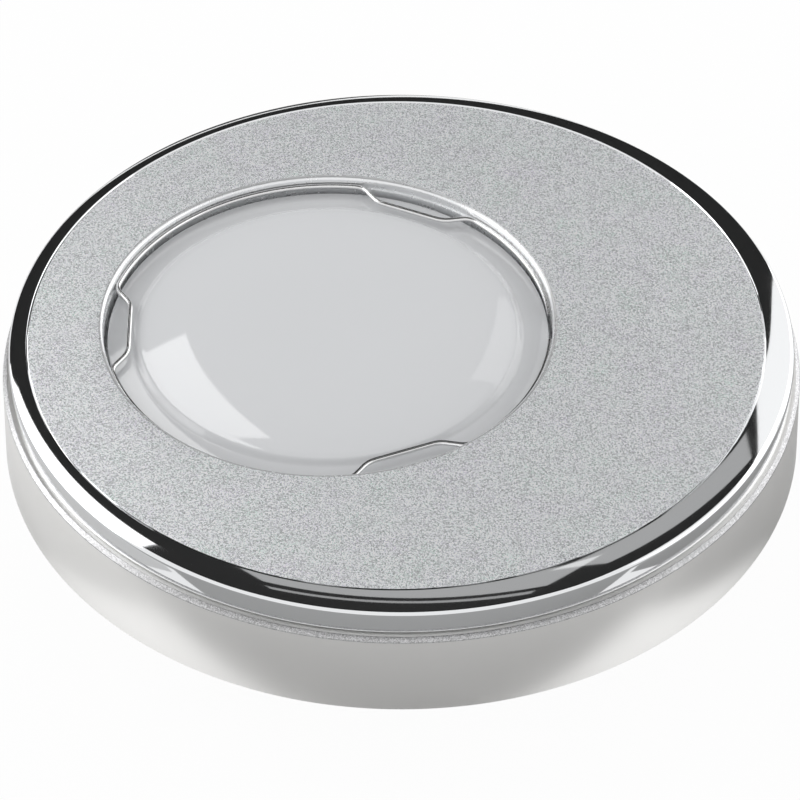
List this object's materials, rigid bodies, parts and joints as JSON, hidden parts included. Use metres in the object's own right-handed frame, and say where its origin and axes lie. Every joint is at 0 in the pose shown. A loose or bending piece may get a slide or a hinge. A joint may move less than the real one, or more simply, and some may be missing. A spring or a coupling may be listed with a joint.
{
  "type": "recessed light",
  "caption": "Round recessed light with an off-centre opening, satin face in a chrome ring, tapered lower ring, frosted lens held by a wire ring, and two sprung clips.",
  "frame": {"origin": "on the lamp axis, in the plane where the trim's seat meets the ceiling or panel", "axes": "+Z out of the ceiling into the room, along the light; +X from the lamp axis towards the wide side of the trim; the clips are at -Y and +Y"},
  "size_m": [0.09, 0.09, 0.026],
  "materials": {
    "face_chrome": "polished chrome shoulder and side, fine satin pearl face",
    "satin_lacquer": "satin silver lacquer",
    "wire_steel": "bright spring wire",
    "milk_glass": "glossy outside, white frosted inside",
    "silicone": "soft white silicone",
    "zinc_sheet": "bright zinc-plated pressed sheet",
    "reflector_sheet": "polished",
    "ceramic_white": "unglazed steatite",
    "brass": "plain brass",
    "screw_steel": "zinc-plated",
    "bulb_glass": "clear quartz glass",
    "lead_black": "silicone sleeving",
    "lead_brown": "silicone sleeving",
    "grommet_rubber": "black rubber",
    "clip_steel": "zinc-plated spring steel",
    "clip_sleeve": "soft white vinyl"
  },
  "bodies": {
    "light": {"face_ring": "face_chrome", "base_ring": "satin_lacquer", "face_screws": "screw_steel", "snap_ring": "wire_steel", "lens_glass": "milk_glass", "lens_gasket": "silicone", "housing_can": "zinc_sheet", "reflector": "reflector_sheet", "lamp_holder": "ceramic_white", "holder_contacts": "brass", "holder_screws": "screw_steel", "bulb_capsule": "bulb_glass", "bulb_pins": "wire_steel", "lead_front": "lead_black", "lead_rear": "lead_brown", "cable_grommet": "grommet_rubber", "terminal_block": "ceramic_white", "terminal_cages": "brass", "terminal_screws": "screw_steel", "block_screw": "screw_steel", "clip_rivets": "screw_steel", "clip_bracket_front": "clip_steel", "clip_pin_front": "clip_steel", "clip_spring_front": "wire_steel", "clip_bracket_rear": "clip_steel", "clip_pin_rear": "clip_steel", "clip_spring_rear": "wire_steel"},
    "clip_front": {"clip_arm_front": "clip_steel", "clip_sleeve_front": "clip_sleeve"},
    "clip_rear": {"clip_arm_rear": "clip_steel", "clip_sleeve_rear": "clip_sleeve"}
  },
  "joints": [
    {"name": "clip_front_fold", "type": "hinge", "parent": "light", "child": "clip_front", "pos_m": [0, -0.0295, -0.006], "axis": [1, 0, 0], "range_deg": [0, 112], "stiffness_Nm_per_rad": 0.02, "springref_deg": -22.92, "deforming": ["clip_spring_front"]},
    {"name": "clip_rear_fold", "type": "hinge", "parent": "light", "child": "clip_rear", "pos_m": [0, 0.0295, -0.006], "axis": [-1, 0, 0], "range_deg": [0, 112], "stiffness_Nm_per_rad": 0.02, "springref_deg": -22.92, "deforming": ["clip_spring_rear"]}
  ]
}
